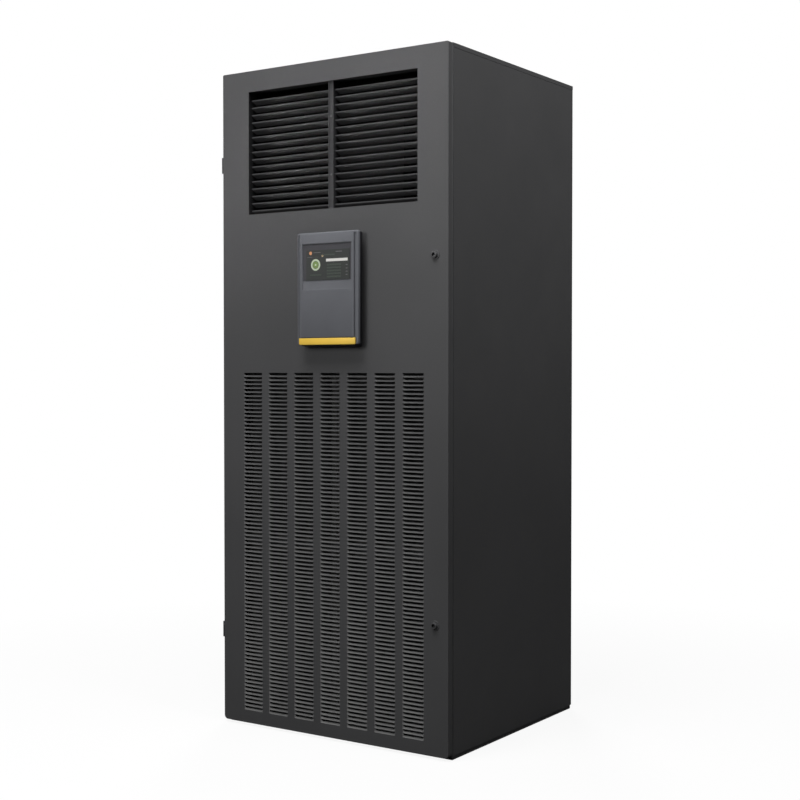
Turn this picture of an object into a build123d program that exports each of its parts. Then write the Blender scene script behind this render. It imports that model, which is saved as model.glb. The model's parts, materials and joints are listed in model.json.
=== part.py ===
from build123d import *
import os

# A free-standing computer room air conditioner. Millimetres, +X to the right, +Y to the back, +Z up.
# The origin lies on the floor under the middle of the cabinet.
cabinet_width = 806
cabinet_depth = 740
cabinet_height = 1970
sheet = 1.5

# Base
base_height = 50
base_sheet = 3
base_inset = 3
base_lip = 40

# Frame
post_depth = 40
post_flange = 25
post_lip = 12
rail_depth = 25
top_rail_height = 40
middle_rail_height = 38
lower_rail_height = 34
rail_clearance = 6

# Panels
panel_foot = 12
cover_fold = 12
rear_fold = 10
panel_seam = 1

# Door
door_depth = 20
door_gap = 7
door_foot = 9.5
door_flange = 18
door_upper_corner = 4
door_lower_corner = 12
stiffener_height = 26
stiffener_depth = 14
stiffener_margin = 10

# Air outlet in the door
outlet_side_margin = 100.5
outlet_height = 366
outlet_drop = 62
grille_rim = 12
grille_depth = 36
grille_sheet = 2
mullion_width = 18
mullion_setback = 6
blade_row_pitch = 22
blade_drop = 24
blade_setback = 16
blade_depth = 20
blade_fall = 10
blade_nose = 5
blade_nose_chamfer = 1.2
blade_tail = 1.5

# Return air louvres pressed into the door
louvre_length = 68
louvre_column_pitch = 96
louvre_row_pitch = 12
louvre_rise = 6
louvre_recess = 5.5
louvre_sheet = 1.6
louvre_cheek = 1.5
louvre_foot = 48
louvre_side_margin = 20
control_zone = 474

# Display module on the door
display_centre = 17
display_rise = 5
display_width = 200
display_height = 322
display_corner = 5
housing_depth = 16
bezel_depth = 22
bezel_chamfer = 4
accent_height = 19
accent_depth = bezel_chamfer
screen_width = 154
screen_height = 86
screen_drop = 51
screen_offset = 3
screen_thickness = 1.5
recess_depth = 3
recess_margin = 10
recess_header = 19
lip_height = 26
groove_width = 2.5
groove_depth = 1

# Hinges on the left edge
upper_hinge_drop = 272
lower_hinge_height = 283
knuckle_radius = 7
pin_radius = 3
pin_clearance = 0.08
knuckle_length = 23
knuckle_gap = 0.6
knuckle_room = 1.5
hinge_overhang = 6
leaf_thickness = 2
leaf_width = 50
leaf_height = 60
pin_engagement = 18

# Quarter-turn locks
upper_lock_drop = 150
lower_lock_height = 373
lock_edge_distance = 43
lock_flange_radius = 14
lock_flange_thickness = 2
lock_boss_radius = 9
lock_boss_height = 9
lock_boss_chamfer = 1.5
lock_barrel_radius = 10
plug_radius = 5.5
plug_clearance = 0.08
plug_sunk = 1
lock_barrel_length = 20
lock_hole_clearance = 0.2
cam_length = 30
cam_width = 16
cam_thickness = 2.5
cam_clearance = 5.5
key_width = 2
key_length = 7
key_depth = 3

# Air path behind the outlet
duct_overlap = 27.5
duct_front_gap = 7
duct_depth = 263
deck_sheet = 3
blower_radius = 150
blower_centre_drop = 60
mouth_side_margin = 60
mouth_end_margin = 80.25
mouth_gap = 100
mouth_wall = 15
mouth_depth = 60

# Control box
control_box_depth = 190
control_cover_margin = 6
cam_side_clearance = 7

# Filters
track_height = 10
filter_depth = 45
filter_gap = 2
filter_setback = 8
filter_border = 20
filter_recess = 4
filter_track_play = 1

half_width = cabinet_width / 2
front_y = -cabinet_depth / 2
rear_y = cabinet_depth / 2
door_rear_y = front_y + door_depth
frame_y = door_rear_y + door_gap
post_outer_x = half_width - sheet
skin_underside = cabinet_height - sheet
outlet_top = cabinet_height - outlet_drop
outlet_bottom = outlet_top - outlet_height
outlet_centre_z = (outlet_top + outlet_bottom) / 2
outlet_width = cabinet_width - 2 * outlet_side_margin
louvre_top = outlet_bottom - control_zone
louvre_rows = int((louvre_top - louvre_foot) // louvre_row_pitch)
louvre_bottom = louvre_top - louvre_rows * louvre_row_pitch
top_rail_bottom = skin_underside - top_rail_height
middle_rail_bottom = outlet_bottom - grille_rim - 2 * rail_clearance - middle_rail_height
lower_rail_bottom = louvre_top + rail_clearance
door_leaf_y = door_rear_y - sheet
hinge_x = -half_width - hinge_overhang
hinge_y = door_leaf_y - knuckle_radius
hinge_heights = (cabinet_height - upper_hinge_drop, lower_hinge_height)
lock_x = half_width - lock_edge_distance
lock_heights = {"upper": outlet_bottom - upper_lock_drop, "lower": lower_lock_height}
lock_places = [(lock_x, z) for z in lock_heights.values()]
control_box_width = 2 * (lock_x - cam_width / 2 - cam_side_clearance)
filter_bank_width = control_box_width - filter_gap

os.makedirs("parts", exist_ok=True)


def save(builder, name):
    builder.part.label = name
    export_step(builder.part, f"parts/{name}.step")


def seen_from_front(y):
    # X runs right and Z runs up in this plane, and a negative extrusion runs back into the cabinet.
    return Plane.XZ.offset(-y)


def folded_strip(plane, corners, length):
    # Folded sheet metal: the line of the fold, one sheet thick, drawn out along its length.
    with BuildPart() as strip:
        with BuildSketch(plane):
            with BuildLine():
                Polyline(*corners)
                offset(amount=sheet, side=Side.RIGHT, kind=Kind.INTERSECTION)
            make_face()
        extrude(amount=length)
    return strip


# Base pan: a welded tray whose lips carry the posts
base_half_width = half_width - base_inset
base_rear_y = rear_y - base_inset
with BuildPart() as base_pan:
    base_centre_y = (frame_y + base_rear_y) / 2
    base_length = base_rear_y - frame_y
    with BuildSketch():
        with Locations((0, base_centre_y)):
            Rectangle(2 * base_half_width, base_length)
    extrude(amount=base_height)
    with BuildSketch(Plane.XY.offset(base_sheet)):
        with Locations((0, base_centre_y)):
            Rectangle(2 * (base_half_width - base_sheet), base_length - 2 * base_sheet)
    extrude(amount=base_height - 2 * base_sheet, mode=Mode.SUBTRACT)
    with BuildSketch(Plane.XY.offset(base_height)):
        with Locations((0, base_centre_y)):
            Rectangle(2 * (base_half_width - base_lip), base_length - 2 * base_lip)
    extrude(amount=-2 * base_sheet, mode=Mode.SUBTRACT)
save(base_pan, "base_pan")

# Four corner posts, folded as channels that open towards the middle
post_height = skin_underside - base_height
for depth_name, outer_y, inward in (("front", frame_y, 1), ("rear", rear_y - sheet, -1)):
    for side_name, side in (("left", -1), ("right", 1)):
        corners = [
            (side * (post_outer_x - post_flange), outer_y),
            (side * post_outer_x, outer_y),
            (side * post_outer_x, outer_y + inward * post_depth),
            (side * (post_outer_x - post_lip), outer_y + inward * post_depth),
        ]
        if side * inward > 0:
            corners.reverse()
        post = folded_strip(Plane.XY.offset(base_height), corners, post_height)
        save(post, f"post_{depth_name}_{side_name}")

# Three cross rails behind the flanges of the front posts
rail_y = frame_y + sheet
rail_half_length = post_outer_x - sheet
rail_plane = Plane.YZ.offset(-rail_half_length)
rails = {
    "top_rail": (top_rail_bottom, top_rail_height),
    "middle_rail": (middle_rail_bottom, middle_rail_height),
    "lower_rail": (lower_rail_bottom, lower_rail_height),
}
for name, (bottom, height) in rails.items():
    corners = [
        (rail_y + rail_depth, bottom),
        (rail_y, bottom),
        (rail_y, bottom + height),
        (rail_y + rail_depth, bottom + height),
    ]
    rail = folded_strip(rail_plane, corners, 2 * rail_half_length)
    save(rail, name)

# Side panels: a flat skin with a return at the top and bottom, between the posts
panel_top = cabinet_height - cover_fold - panel_seam
panel_rear_y = rear_y - rear_fold - panel_seam
return_front_y = frame_y + post_depth
return_rear_y = rear_y - sheet - post_depth
for side_name, side in (("left", -1), ("right", 1)):
    outer_x = side * half_width
    skin_x = side * post_outer_x
    with BuildPart() as side_panel:
        with BuildSketch(Plane.YZ.offset(outer_x)):
            with Locations(((frame_y + panel_rear_y) / 2, (panel_foot + panel_top) / 2)):
                Rectangle(panel_rear_y - frame_y, panel_top - panel_foot)
        extrude(amount=-side * sheet)
        with BuildSketch(Plane.YZ.offset(skin_x)):
            for z in (base_height + sheet / 2, panel_top - sheet / 2):
                with Locations(((return_front_y + return_rear_y) / 2, z)):
                    Rectangle(return_rear_y - return_front_y, sheet)
        extrude(amount=-side * post_lip)
    save(side_panel, f"side_panel_{side_name}")

# Rear panel: its folds wrap round the rear edges of the cabinet
with BuildPart() as rear_panel:
    panel_centre_z = (panel_foot + panel_top) / 2
    with BuildSketch(seen_from_front(rear_y)):
        with Locations((0, panel_centre_z)):
            Rectangle(cabinet_width, panel_top - panel_foot)
    extrude(amount=rear_fold)
    with BuildSketch(seen_from_front(rear_y - sheet)):
        with Locations((0, panel_centre_z)):
            Rectangle(cabinet_width - 2 * sheet, panel_top - panel_foot)
    extrude(amount=rear_fold, mode=Mode.SUBTRACT)
save(rear_panel, "rear_panel")

# Top cover: a lid with three edges folded down over the posts
with BuildPart() as top_cover:
    with BuildSketch(Plane.XY.offset(cabinet_height)):
        with Locations((0, (frame_y + rear_y) / 2)):
            Rectangle(cabinet_width, rear_y - frame_y)
    extrude(amount=-cover_fold)
    with BuildSketch(Plane.XY.offset(skin_underside)):
        with Locations((0, (frame_y + rear_y) / 2 - sheet)):
            Rectangle(cabinet_width - 2 * sheet, rear_y - frame_y)
    extrude(amount=-cover_fold, mode=Mode.SUBTRACT)
save(top_cover, "top_cover")

# Supply duct between the rails, from the grille back to the blower deck
grille_rear_y = front_y + sheet + grille_depth
duct_front_y = grille_rear_y + duct_front_gap
duct_rear_y = duct_front_y + duct_depth
duct_bottom = middle_rail_bottom + middle_rail_height
duct_top = top_rail_bottom
duct_centre_z = (duct_bottom + duct_top) / 2
duct_width = outlet_width + 2 * duct_overlap
with BuildPart() as supply_duct:
    with BuildSketch(seen_from_front(duct_front_y)):
        with Locations((0, duct_centre_z)):
            Rectangle(duct_width, duct_top - duct_bottom)
            Rectangle(duct_width - 2 * sheet, duct_top - duct_bottom - 2 * sheet, mode=Mode.SUBTRACT)
    extrude(amount=-duct_depth)
save(supply_duct, "supply_duct")

# Blower deck: the plate that closes the duct, with a mouth for each blower
mouth_width = (duct_width - 2 * mouth_side_margin - mouth_gap) / 2
mouth_height = duct_top - duct_bottom - 2 * mouth_end_margin
mouth_spacing = mouth_width + mouth_gap
with BuildPart() as blower_deck:
    with BuildSketch(seen_from_front(duct_rear_y)):
        with Locations((0, duct_centre_z)):
            Rectangle(duct_width, duct_top - duct_bottom)
            with GridLocations(mouth_spacing, 0, 2, 1):
                Rectangle(mouth_width, mouth_height, mode=Mode.SUBTRACT)
    extrude(amount=-deck_sheet)
save(blower_deck, "blower_deck")

# Blower housings: a scroll whose throat opens at the deck
blower_y = duct_rear_y + deck_sheet
blower_centre_y = blower_y + blower_radius
blower_centre_z = duct_centre_z - blower_centre_drop
blower_width = mouth_width + 2 * mouth_wall
throat_top = duct_centre_z + mouth_height / 2 + mouth_wall
throat_bottom = duct_centre_z - mouth_height / 2 - mouth_wall
for side_name, side in (("left", -1), ("right", 1)):
    blower_x = side * mouth_spacing / 2
    with BuildPart() as blower:
        with BuildSketch(Plane.YZ.offset(blower_x - blower_width / 2)):
            with Locations((blower_centre_y, blower_centre_z)):
                Circle(blower_radius)
            with Locations(((blower_y + blower_centre_y) / 2, (throat_top + throat_bottom) / 2)):
                Rectangle(blower_centre_y - blower_y, throat_top - throat_bottom)
        extrude(amount=blower_width)
        with BuildSketch(seen_from_front(blower_y)):
            with Locations((blower_x, duct_centre_z)):
                Rectangle(mouth_width, mouth_height)
        extrude(amount=-mouth_depth, mode=Mode.SUBTRACT)
    save(blower, f"blower_{side_name}")

# Control box between the middle and lower rails, behind its bolted cover
control_bottom = lower_rail_bottom + lower_rail_height
control_height = middle_rail_bottom - control_bottom
control_front_y = rail_y + sheet
control_centre_z = control_bottom + control_height / 2
with BuildPart() as control_box:
    with BuildSketch(seen_from_front(control_front_y)):
        with Locations((0, control_centre_z)):
            Rectangle(control_box_width, control_height)
    extrude(amount=-control_box_depth)
save(control_box, "control_box")

with BuildPart() as control_cover:
    with BuildSketch(seen_from_front(control_front_y)):
        with Locations((0, control_centre_z)):
            Rectangle(
                control_box_width - 2 * control_cover_margin,
                control_height - 2 * control_cover_margin,
            )
    extrude(amount=sheet)
save(control_cover, "control_cover")

# Filter tracks: three channels across the front of the cabinet
track_y = frame_y + filter_setback
track_depth = filter_depth + 2 * sheet + 2 * filter_track_play
filter_top = lower_rail_bottom
middle_track_z = (base_height + filter_top) / 2
track_half_length = post_outer_x - post_lip


def open_track(bottom, up):
    # A channel: up is 1 where it opens upwards and -1 where it opens downwards.
    with BuildPart() as track:
        with BuildSketch(Plane.YZ.offset(-track_half_length)):
            with Locations((track_y + track_depth / 2, bottom + up * track_height / 2)):
                Rectangle(track_depth, track_height)
            with Locations((track_y + track_depth / 2, bottom + up * (sheet + track_height / 2))):
                Rectangle(track_depth - 2 * sheet, track_height, mode=Mode.SUBTRACT)
        extrude(amount=2 * track_half_length)
    return track


save(open_track(base_height, 1), "filter_track_bottom")
save(open_track(filter_top, -1), "filter_track_top")
with BuildPart() as middle_track:
    with BuildSketch(Plane.YZ.offset(-track_half_length)):
        with Locations((track_y + track_depth / 2, middle_track_z)):
            Rectangle(track_depth, 2 * track_height)
        with GridLocations(0, track_height + sheet, 1, 2):
            with Locations((track_y + track_depth / 2, middle_track_z)):
                Rectangle(track_depth - 2 * sheet, track_height, mode=Mode.SUBTRACT)
    extrude(amount=2 * track_half_length)
save(middle_track, "filter_track_middle")

# Four framed filters stand in the tracks
filter_width = (filter_bank_width - filter_gap) / 2
filter_front_y = track_y + sheet + filter_track_play
lower_filter_bottom = base_height + sheet
filter_height = middle_track_z - sheet / 2 - lower_filter_bottom - filter_track_play
filter_bottoms = {"lower": lower_filter_bottom, "upper": middle_track_z + sheet / 2}
for row_name, bottom in filter_bottoms.items():
    for side_name, side in (("left", -1), ("right", 1)):
        filter_x = side * (filter_width + filter_gap) / 2
        filter_centre = (filter_x, bottom + filter_height / 2)
        with BuildPart() as air_filter:
            with BuildSketch(seen_from_front(filter_front_y)):
                with Locations(filter_centre):
                    Rectangle(filter_width, filter_height)
            extrude(amount=-filter_depth)
            with BuildSketch(seen_from_front(filter_front_y)):
                with Locations(filter_centre):
                    Rectangle(filter_width - 2 * filter_border, filter_height - 2 * filter_border)
            extrude(amount=-filter_recess, mode=Mode.SUBTRACT)
        save(air_filter, f"filter_{row_name}_{side_name}")

# Door: one folded sheet with the outlet opening, the louvre windows and notches for the knuckles
louvre_window = louvre_length + 2 * louvre_cheek
louvre_field = 2 * (lock_x - lock_flange_radius - louvre_side_margin)
louvre_columns = int((louvre_field - louvre_window) // louvre_column_pitch) + 1
louvre_centre_z = (louvre_top + louvre_bottom) / 2
door_height = cabinet_height - door_foot
door_centre_z = (cabinet_height + door_foot) / 2
notch_height = 2 * knuckle_length + knuckle_gap + 2 * knuckle_room
notch_radius = knuckle_radius + knuckle_room
door_flange_open = 2 * (door_flange + sheet)
with BuildPart() as door_panel:
    with BuildSketch(seen_from_front(front_y)) as door_outline:
        with Locations((0, door_centre_z)):
            Rectangle(cabinet_width, door_height)
        fillet(door_outline.vertices().group_by(Axis.Y)[-1], door_upper_corner)
        fillet(door_outline.vertices().group_by(Axis.Y)[0], door_lower_corner)
    extrude(amount=-door_depth)
    with BuildSketch(seen_from_front(front_y + sheet)):
        add(door_outline.sketch_local)
        offset(amount=-sheet, mode=Mode.REPLACE)
    extrude(amount=-(door_depth - 2 * sheet), mode=Mode.SUBTRACT)
    with BuildSketch(seen_from_front(door_rear_y)):
        with Locations((0, door_centre_z)):
            Rectangle(cabinet_width - door_flange_open, door_height - door_flange_open)
    extrude(amount=2 * sheet, mode=Mode.SUBTRACT)
    with BuildSketch(seen_from_front(front_y)):
        with Locations((0, outlet_centre_z)):
            Rectangle(outlet_width, outlet_height)
        with Locations((0, louvre_centre_z)):
            with GridLocations(louvre_column_pitch, 0, louvre_columns, 1):
                Rectangle(louvre_window, louvre_top - louvre_bottom)
        with Locations(*lock_places):
            Circle(lock_barrel_radius + lock_hole_clearance)
    extrude(amount=-2 * sheet, mode=Mode.SUBTRACT)
    for z in hinge_heights:
        with BuildSketch(Plane.XY.offset(z - notch_height / 2)):
            with Locations((hinge_x, hinge_y)):
                Rectangle(2 * notch_radius, 2 * notch_radius)
        extrude(amount=notch_height, mode=Mode.SUBTRACT)
save(door_panel, "door_panel")

# Louvres: in each window a column of blades rises inwards between two drawn cheeks
blade_back = louvre_recess + louvre_sheet
with BuildPart() as louvre_column:
    with BuildSketch(seen_from_front(front_y)):
        with Locations((0, louvre_centre_z)):
            with GridLocations(louvre_length + louvre_cheek, 0, 2, 1):
                Rectangle(louvre_cheek, louvre_top - louvre_bottom)
    extrude(amount=-blade_back)
    with BuildSketch(Plane.YZ.offset(-louvre_length / 2)):
        with Locations((front_y, louvre_centre_z - louvre_row_pitch / 2)):
            with GridLocations(0, louvre_row_pitch, 1, louvre_rows):
                Polygon(
                    (0, 0),
                    (blade_back, louvre_rise),
                    (louvre_recess, louvre_rise),
                    align=None,
                )
    extrude(amount=louvre_length)
with BuildPart() as door_louvres:
    with GridLocations(louvre_column_pitch, 0, louvre_columns, 1):
        add(louvre_column.part)
save(door_louvres, "door_louvres")

# Two stiffening channels across the inside of the door skin
stiffener_heights = {
    "upper": outlet_bottom - grille_rim - stiffener_height,
    "lower": louvre_top + louvre_row_pitch,
}
stiffener_y = front_y + sheet
stiffener_half_length = lock_x - lock_flange_radius - stiffener_margin
for name, bottom in stiffener_heights.items():
    corners = [
        (stiffener_y + stiffener_depth, bottom + stiffener_height),
        (stiffener_y, bottom + stiffener_height),
        (stiffener_y, bottom),
        (stiffener_y + stiffener_depth, bottom),
    ]
    corners.reverse()
    stiffener_plane = Plane.YZ.offset(-stiffener_half_length)
    stiffener = folded_strip(stiffener_plane, corners, 2 * stiffener_half_length)
    save(stiffener, f"door_stiffener_{name}")

# Outlet grille: a frame behind the opening, a mullion and two banks of fixed blades
grille_y = front_y + sheet
with BuildPart() as grille_frame:
    with BuildSketch(seen_from_front(grille_y)):
        with Locations((0, outlet_centre_z)):
            Rectangle(outlet_width + 2 * grille_rim, outlet_height + 2 * grille_rim)
            Rectangle(outlet_width, outlet_height, mode=Mode.SUBTRACT)
    extrude(amount=-grille_sheet)
    with BuildSketch(seen_from_front(grille_y)):
        with Locations((0, outlet_centre_z)):
            Rectangle(outlet_width + 2 * grille_sheet, outlet_height + 2 * grille_sheet)
            Rectangle(outlet_width, outlet_height, mode=Mode.SUBTRACT)
    extrude(amount=-grille_depth)
save(grille_frame, "grille_frame")

mullion_y = front_y + mullion_setback
with BuildPart() as grille_mullion:
    with BuildSketch(seen_from_front(mullion_y)):
        with Locations((0, outlet_centre_z)):
            Rectangle(mullion_width, outlet_height)
    extrude(amount=-(grille_rear_y - mullion_y))
save(grille_mullion, "grille_mullion")

bay_width = (outlet_width - mullion_width) / 2
blade_rows = int(outlet_height // blade_row_pitch)
blade_bank_z = outlet_top - blade_drop - (blade_rows - 1) * blade_row_pitch / 2
blade_corners = [
    (0, blade_nose_chamfer - blade_nose / 2),
    (0, blade_nose / 2 - blade_nose_chamfer),
    (blade_nose_chamfer, blade_nose / 2),
    (blade_depth, blade_tail / 2 - blade_fall),
    (blade_depth, -blade_tail / 2 - blade_fall),
    (blade_nose_chamfer, -blade_nose / 2),
]
for side_name, side in (("left", -1), ("right", 1)):
    bay_x = side * (mullion_width + bay_width) / 2
    with BuildPart() as grille_blades:
        with BuildSketch(Plane.YZ.offset(bay_x - bay_width / 2)):
            with Locations((front_y + blade_setback, blade_bank_z)):
                with GridLocations(0, blade_row_pitch, 1, blade_rows):
                    Polygon(*blade_corners, align=None)
        extrude(amount=bay_width)
    save(grille_blades, f"grille_blades_{side_name}")

# Display module: housing, bezel, screen and accent bar
display_centre_z = (outlet_bottom + louvre_top) / 2 + display_rise
display_bottom = display_centre_z - display_height / 2
display_top = display_centre_z + display_height / 2
bezel_rear_y = front_y - housing_depth
bezel_front_y = bezel_rear_y - bezel_depth
with BuildPart() as display_housing:
    with BuildSketch(seen_from_front(front_y)):
        with Locations((display_centre, display_centre_z)):
            RectangleRounded(display_width, display_height, display_corner)
    extrude(amount=housing_depth)
save(display_housing, "display_housing")

screen_centre_z = display_top - screen_drop - screen_height / 2
recess_top = display_top - screen_drop + recess_header
recess_bottom = display_top - screen_drop - screen_height - groove_depth
groove_z = recess_bottom - lip_height
with BuildPart() as display_bezel:
    with BuildSketch(seen_from_front(bezel_rear_y)):
        with Locations((display_centre, display_centre_z)):
            RectangleRounded(display_width, display_height, display_corner)
    extrude(amount=bezel_depth)
    chamfer(display_bezel.faces().sort_by(Axis.Y)[0].edges(), bezel_chamfer)
    with BuildSketch(seen_from_front(bezel_front_y)):
        with Locations((display_centre, (recess_top + recess_bottom) / 2)):
            Rectangle(screen_width + 2 * recess_margin, recess_top - recess_bottom)
    extrude(amount=-recess_depth, mode=Mode.SUBTRACT)
    with BuildSketch(seen_from_front(bezel_front_y)):
        with Locations((display_centre, groove_z)):
            Rectangle(screen_width + 2 * recess_margin, groove_width)
    extrude(amount=-groove_depth, mode=Mode.SUBTRACT)
    with BuildSketch(seen_from_front(bezel_front_y)):
        with Locations((display_centre, display_bottom + accent_height / 2)):
            Rectangle(display_width, accent_height)
    extrude(amount=-accent_depth, mode=Mode.SUBTRACT)
save(display_bezel, "display_bezel")

with BuildPart() as display_screen:
    with BuildSketch(seen_from_front(bezel_front_y + recess_depth)):
        with Locations((display_centre + screen_offset, screen_centre_z)):
            Rectangle(screen_width, screen_height)
    extrude(amount=screen_thickness)
save(display_screen, "display_screen")

with BuildPart() as display_accent_bar:
    with BuildSketch(seen_from_front(bezel_front_y + accent_depth)):
        with Locations((display_centre, display_bottom + accent_height / 2)):
            Rectangle(display_width, accent_height)
    extrude(amount=accent_depth)
save(display_accent_bar, "display_accent_bar")

# Hinges: the cabinet halves carry the pins, and the door halves turn on them
bore_radius = pin_radius + pin_clearance
knuckle_offset = (knuckle_length + knuckle_gap) / 2
with BuildPart() as frame_hinges:
    for z in hinge_heights:
        with BuildSketch(Plane.XY.offset(z - knuckle_gap / 2)):
            with Locations((hinge_x, hinge_y)):
                Circle(knuckle_radius)
            with Locations((hinge_x, (hinge_y + frame_y) / 2)):
                Rectangle(2 * pin_radius, frame_y - hinge_y)
        extrude(amount=-knuckle_length)
        with BuildSketch(Plane.XY.offset(z - knuckle_offset)):
            with Locations((hinge_x, hinge_y)):
                Circle(pin_radius)
        extrude(amount=knuckle_offset + pin_engagement)
        with BuildSketch(seen_from_front(frame_y)):
            with Locations((hinge_x - pin_radius + leaf_width / 2, z)):
                Rectangle(leaf_width, leaf_height)
        extrude(amount=leaf_thickness)
save(frame_hinges, "frame_hinges")

with BuildPart() as door_hinges:
    for z in hinge_heights:
        with BuildSketch(Plane.XY.offset(z + knuckle_gap / 2)):
            with Locations((hinge_x, hinge_y)):
                Circle(knuckle_radius)
            with Locations((hinge_x + leaf_width / 2, door_leaf_y - leaf_thickness / 2)):
                Rectangle(leaf_width, leaf_thickness)
            with Locations((hinge_x, hinge_y)):
                Circle(bore_radius, mode=Mode.SUBTRACT)
        extrude(amount=knuckle_length)
save(door_hinges, "door_hinges")

# Locks: a barrel with a proud boss in the door, and a plug that turns the cam behind the post's flange
cam_front_y = frame_y + sheet + cam_clearance
cam_rear_y = cam_front_y + cam_thickness
lock_front_y = front_y - lock_boss_height
plug_front_y = lock_front_y + plug_sunk
with BuildPart() as lock_barrels:
    with BuildSketch(seen_from_front(front_y)):
        with Locations(*lock_places):
            Circle(lock_flange_radius)
            Circle(plug_radius + plug_clearance, mode=Mode.SUBTRACT)
    extrude(amount=lock_flange_thickness)
    with BuildSketch(seen_from_front(front_y)):
        with Locations(*lock_places):
            Circle(lock_boss_radius)
            Circle(plug_radius + plug_clearance, mode=Mode.SUBTRACT)
    extrude(amount=lock_boss_height)
    front_edges = lock_barrels.edges().group_by(Axis.Y)[0].sort_by(SortBy.RADIUS)
    chamfer(front_edges[-len(lock_places):], lock_boss_chamfer)
    with BuildSketch(seen_from_front(front_y)):
        with Locations(*lock_places):
            Circle(lock_barrel_radius)
            Circle(plug_radius + plug_clearance, mode=Mode.SUBTRACT)
    extrude(amount=-lock_barrel_length)
save(lock_barrels, "lock_barrels")

for name, z in lock_heights.items():
    with BuildPart() as lock_plug:
        with BuildSketch(seen_from_front(plug_front_y)):
            with Locations((lock_x, z)):
                Circle(plug_radius)
        extrude(amount=-(cam_rear_y - plug_front_y))
        with BuildSketch(seen_from_front(cam_front_y)):
            with Locations((lock_x, z)):
                Circle(cam_width / 2)
            with Locations((lock_x, z - cam_length / 2)):
                Rectangle(cam_width, cam_length)
        extrude(amount=-cam_thickness)
        with BuildSketch(seen_from_front(plug_front_y)):
            with Locations((lock_x, z)):
                Rectangle(key_width, key_length)
        extrude(amount=-key_depth, mode=Mode.SUBTRACT)
    save(lock_plug, f"lock_plug_{name}")
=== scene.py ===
import json
import math

import bmesh
import bpy
from mathutils import Matrix, Vector


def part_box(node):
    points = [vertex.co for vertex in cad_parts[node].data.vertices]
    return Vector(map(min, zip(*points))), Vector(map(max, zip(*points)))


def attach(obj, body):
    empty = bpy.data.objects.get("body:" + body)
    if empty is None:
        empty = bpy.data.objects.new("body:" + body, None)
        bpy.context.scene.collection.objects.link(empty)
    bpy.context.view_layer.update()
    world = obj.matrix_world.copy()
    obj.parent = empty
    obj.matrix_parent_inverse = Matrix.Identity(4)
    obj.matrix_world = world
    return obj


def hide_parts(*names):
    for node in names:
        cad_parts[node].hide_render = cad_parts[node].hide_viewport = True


# A computer room air conditioner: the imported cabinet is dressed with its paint, louvres, vanes,
# display, locks and filters. Everything is in metres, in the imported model's own frame.

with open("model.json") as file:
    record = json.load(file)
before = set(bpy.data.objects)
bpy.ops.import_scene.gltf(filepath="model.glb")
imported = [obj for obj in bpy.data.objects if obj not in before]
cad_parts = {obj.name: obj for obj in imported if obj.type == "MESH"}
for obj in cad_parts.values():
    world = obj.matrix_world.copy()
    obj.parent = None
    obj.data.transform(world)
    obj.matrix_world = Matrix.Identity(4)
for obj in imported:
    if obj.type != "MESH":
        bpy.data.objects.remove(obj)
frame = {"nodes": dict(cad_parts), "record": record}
nodes = frame["nodes"]
scene = bpy.context.scene
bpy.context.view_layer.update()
print("frame loaded:", len(nodes), "nodes")


# Tools for shader nodes

def startMaterial(name, colour, rough, metal=0.0, gloss=0.5):
    material = bpy.data.materials.new(name)
    material.use_nodes = True
    tree = material.node_tree
    shader = tree.nodes["Principled BSDF"]
    shader.inputs["Base Color"].default_value = tuple(colour) + (1,)
    shader.inputs["Roughness"].default_value = rough
    shader.inputs["Metallic"].default_value = metal
    shader.inputs["Specular IOR Level"].default_value = gloss
    return material, tree, shader


def place(tree, stretch=(1, 1, 1)):
    where = tree.nodes.new("ShaderNodeTexCoord")
    mapping = tree.nodes.new("ShaderNodeMapping")
    mapping.inputs["Scale"].default_value = stretch
    tree.links.new(where.outputs["Object"], mapping.inputs["Vector"])
    return mapping.outputs["Vector"]


def speckle(tree, vector, scale, detail, rough=0.5):
    noise = tree.nodes.new("ShaderNodeTexNoise")
    noise.inputs["Scale"].default_value = scale
    noise.inputs["Detail"].default_value = detail
    noise.inputs["Roughness"].default_value = rough
    tree.links.new(vector, noise.inputs["Vector"])
    return noise.outputs["Fac"]


def spread(tree, value, low, high, fromLow=0.3, fromHigh=0.7):
    # Stretches the part of a value between two limits, by default the busy part of a noise.
    ranged = tree.nodes.new("ShaderNodeMapRange")
    ranged.inputs["From Min"].default_value = fromLow
    ranged.inputs["From Max"].default_value = fromHigh
    ranged.inputs["To Min"].default_value = low
    ranged.inputs["To Max"].default_value = high
    tree.links.new(value, ranged.inputs["Value"])
    return ranged.outputs["Result"]


def reckon(tree, kind, first, second):
    # Each of the two is a number or the output of a node.
    node = tree.nodes.new("ShaderNodeMath")
    node.operation = kind
    for socket, value in zip(node.inputs, (first, second)):
        if isinstance(value, float):
            socket.default_value = value
        else:
            tree.links.new(value, socket)
    return node.outputs[0]


def blendColours(tree, factor, first, second):
    # Each of the two is a colour or the output of a node.
    mix = tree.nodes.new("ShaderNodeMix")
    mix.data_type = "RGBA"
    tree.links.new(factor, mix.inputs["Factor"])
    for name, colour in (("A", first), ("B", second)):
        if isinstance(colour, bpy.types.NodeSocket):
            tree.links.new(colour, mix.inputs[name])
        else:
            mix.inputs[name].default_value = tuple(colour) + (1,)
    return mix.outputs["Result"]


def blendShaders(tree, factor, first, second):
    mix = tree.nodes.new("ShaderNodeMixShader")
    for socket, source in zip(mix.inputs, (factor, first, second)):
        tree.links.new(source, socket)
    return mix.outputs[0]


def addBump(tree, shader, height, strength, distance, after=None):
    bump = tree.nodes.new("ShaderNodeBump")
    bump.inputs["Strength"].default_value = strength
    bump.inputs["Distance"].default_value = distance
    tree.links.new(height, bump.inputs["Height"])
    if after is not None:
        tree.links.new(after, bump.inputs["Normal"])
    tree.links.new(bump.outputs["Normal"], shader.inputs["Normal"])
    return bump.outputs["Normal"]


def shade(colour, factor):
    return tuple(c * factor for c in colour)


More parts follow.
